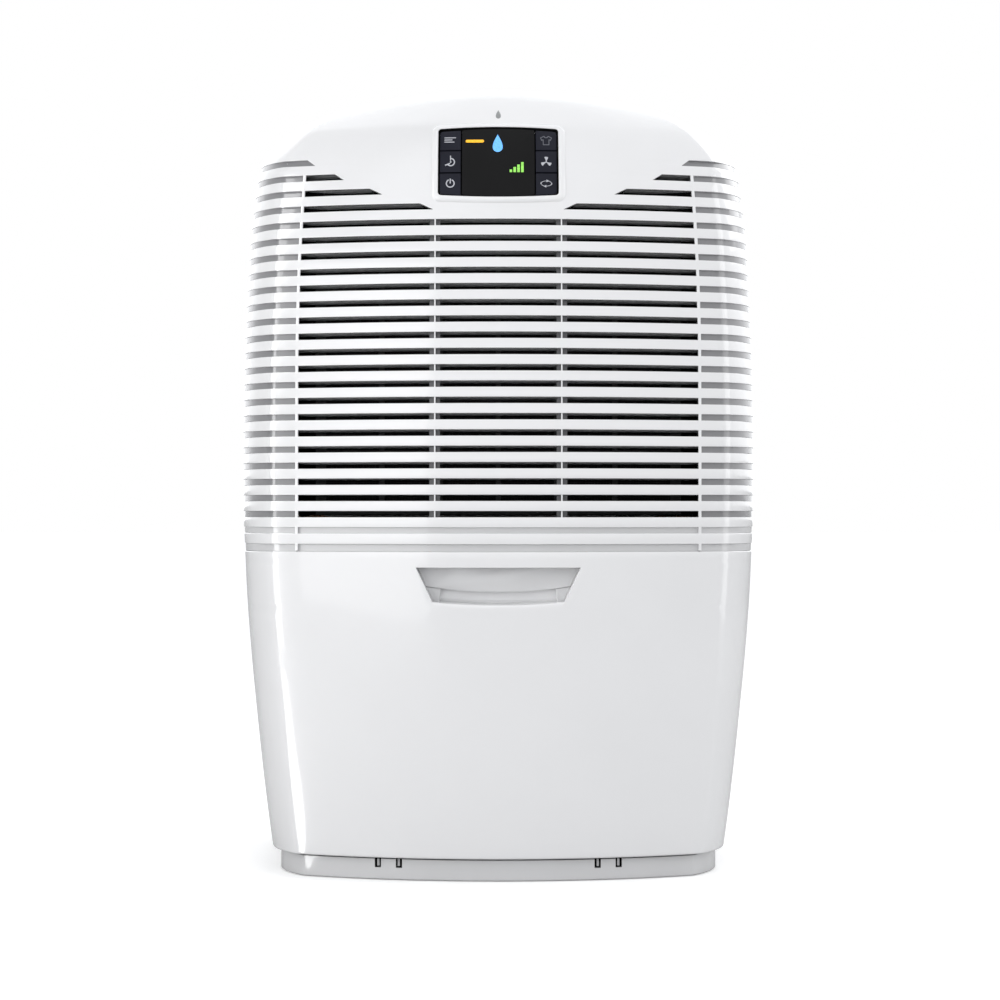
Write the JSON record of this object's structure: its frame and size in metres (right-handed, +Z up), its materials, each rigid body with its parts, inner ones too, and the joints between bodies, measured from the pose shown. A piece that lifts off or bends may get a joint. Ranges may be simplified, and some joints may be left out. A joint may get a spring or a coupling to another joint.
{
  "type": "dehumidifier",
  "caption": "White barrel-shaped room dehumidifier with a louvred front grille, a black button panel and a full-width pull-out water tank.",
  "frame": {"origin": "centre of the footprint on the floor", "axes": "+Z up, the front faces -Y, +X to the right seen from the front"},
  "size_m": [0.345, 0.335, 0.532],
  "materials": {
    "white_abs": "glossy moulded ABS",
    "white_grille": "glossy moulded ABS",
    "grey_base": "satin moulded",
    "bezel_white": "glossy",
    "button_black": "glossy dark navy",
    "display_black": "glossy dark window",
    "black_plastic": "moulded",
    "tank_clear": "translucent moulded plastic, listed as glass for its transparency",
    "grey_plastic": "moulded",
    "foam_white": "closed-cell foam",
    "rubber": "moulded rubber",
    "fins": "mill finish fins",
    "copper": null,
    "compressor_black": "black enamel",
    "steel": "zinc plated",
    "galvanised": "galvanised sheet",
    "pcb_green": "solder resist",
    "filter_grey": "moulded frame",
    "cap_white": "moulded"
  },
  "bodies": {
    "casing": {"rear_housing": "white_abs", "outlet_grille": "white_abs", "front_grille": "white_grille", "base_plinth": "grey_base", "control_bezel": "bezel_white", "display_window": "display_black", "button_carrier": "black_plastic", "mains_gland": "black_plastic", "tank_switch": "black_plastic", "humidity_sensor": "black_plastic", "fan_shroud": "black_plastic", "rear_handle_cup": "grey_plastic", "drain_spout": "grey_plastic", "inner_chassis": "grey_plastic", "drip_tray": "grey_plastic", "foot_front_left": "rubber", "foot_front_right": "rubber", "foot_rear_left": "rubber", "foot_rear_right": "rubber", "compressor_grommet_left": "rubber", "compressor_grommet_right": "rubber", "compressor_grommet_front": "rubber", "evaporator_coil": "fins", "condenser_coil": "fins", "suction_pipe": "copper", "discharge_pipe": "copper", "filter_drier": "copper", "liquid_line": "copper", "capillary_tube": "copper", "compressor": "compressor_black", "suction_accumulator": "compressor_black", "rear_screw_left_low": "steel", "rear_screw_left_high": "steel", "rear_screw_right_low": "steel", "rear_screw_right_high": "steel", "motor_mount": "steel", "fan_motor": "galvanised", "run_capacitor": "galvanised", "control_board": "pcb_green", "air_filter": "filter_grey"},
    "tank": {"tank_front": "white_abs", "water_tank": "tank_clear", "float_bracket": "grey_plastic"},
    "float": {"tank_float": "foam_white"},
    "fan": {"fan_impeller": "black_plastic"},
    "drain_plug": {"drain_cap": "cap_white"},
    "power_key": {"button_power": "button_black"},
    "timer_key": {"button_timer": "button_black"},
    "mode_key": {"button_mode": "button_black"},
    "swing_key": {"button_swing": "button_black"},
    "fan_speed_key": {"button_fan_speed": "button_black"},
    "laundry_key": {"button_laundry": "button_black"}
  },
  "joints": [
    {"name": "tank_pull", "type": "slide", "parent": "casing", "child": "tank", "axis": [0, -1, 0], "range_m": [0, 0.16]},
    {"name": "float_swing", "type": "hinge", "parent": "tank", "child": "float", "pos_m": [0.087, -0.048, 0.156], "axis": [-1, 0, 0], "range_deg": [0, 12]},
    {"name": "fan_spin", "type": "hinge", "parent": "casing", "child": "fan", "pos_m": [0, -0.019, 0.338], "axis": [0, 1, 0], "continuous": true},
    {"name": "drain_cap_pull", "type": "slide", "parent": "casing", "child": "drain_plug", "axis": [0, 1, 0], "range_m": [0, 0.03]},
    {"name": "power_press", "type": "slide", "parent": "casing", "child": "power_key", "axis": [0.085, 0.9513, -0.2964], "range_m": [0, 0.0007], "stiffness_N_per_m": 400},
    {"name": "timer_press", "type": "slide", "parent": "casing", "child": "timer_key", "axis": [0.0803, 0.902, -0.4241], "range_m": [0, 0.0007], "stiffness_N_per_m": 400},
    {"name": "mode_press", "type": "slide", "parent": "casing", "child": "mode_key", "axis": [0.0796, 0.847, -0.5256], "range_m": [0, 0.0007], "stiffness_N_per_m": 400},
    {"name": "swing_press", "type": "slide", "parent": "casing", "child": "swing_key", "axis": [-0.085, 0.9513, -0.2964], "range_m": [0, 0.0007], "stiffness_N_per_m": 400},
    {"name": "fan_speed_press", "type": "slide", "parent": "casing", "child": "fan_speed_key", "axis": [-0.0803, 0.902, -0.4241], "range_m": [0, 0.0007], "stiffness_N_per_m": 400},
    {"name": "laundry_press", "type": "slide", "parent": "casing", "child": "laundry_key", "axis": [-0.0796, 0.847, -0.5256], "range_m": [0, 0.0007], "stiffness_N_per_m": 400}
  ]
}
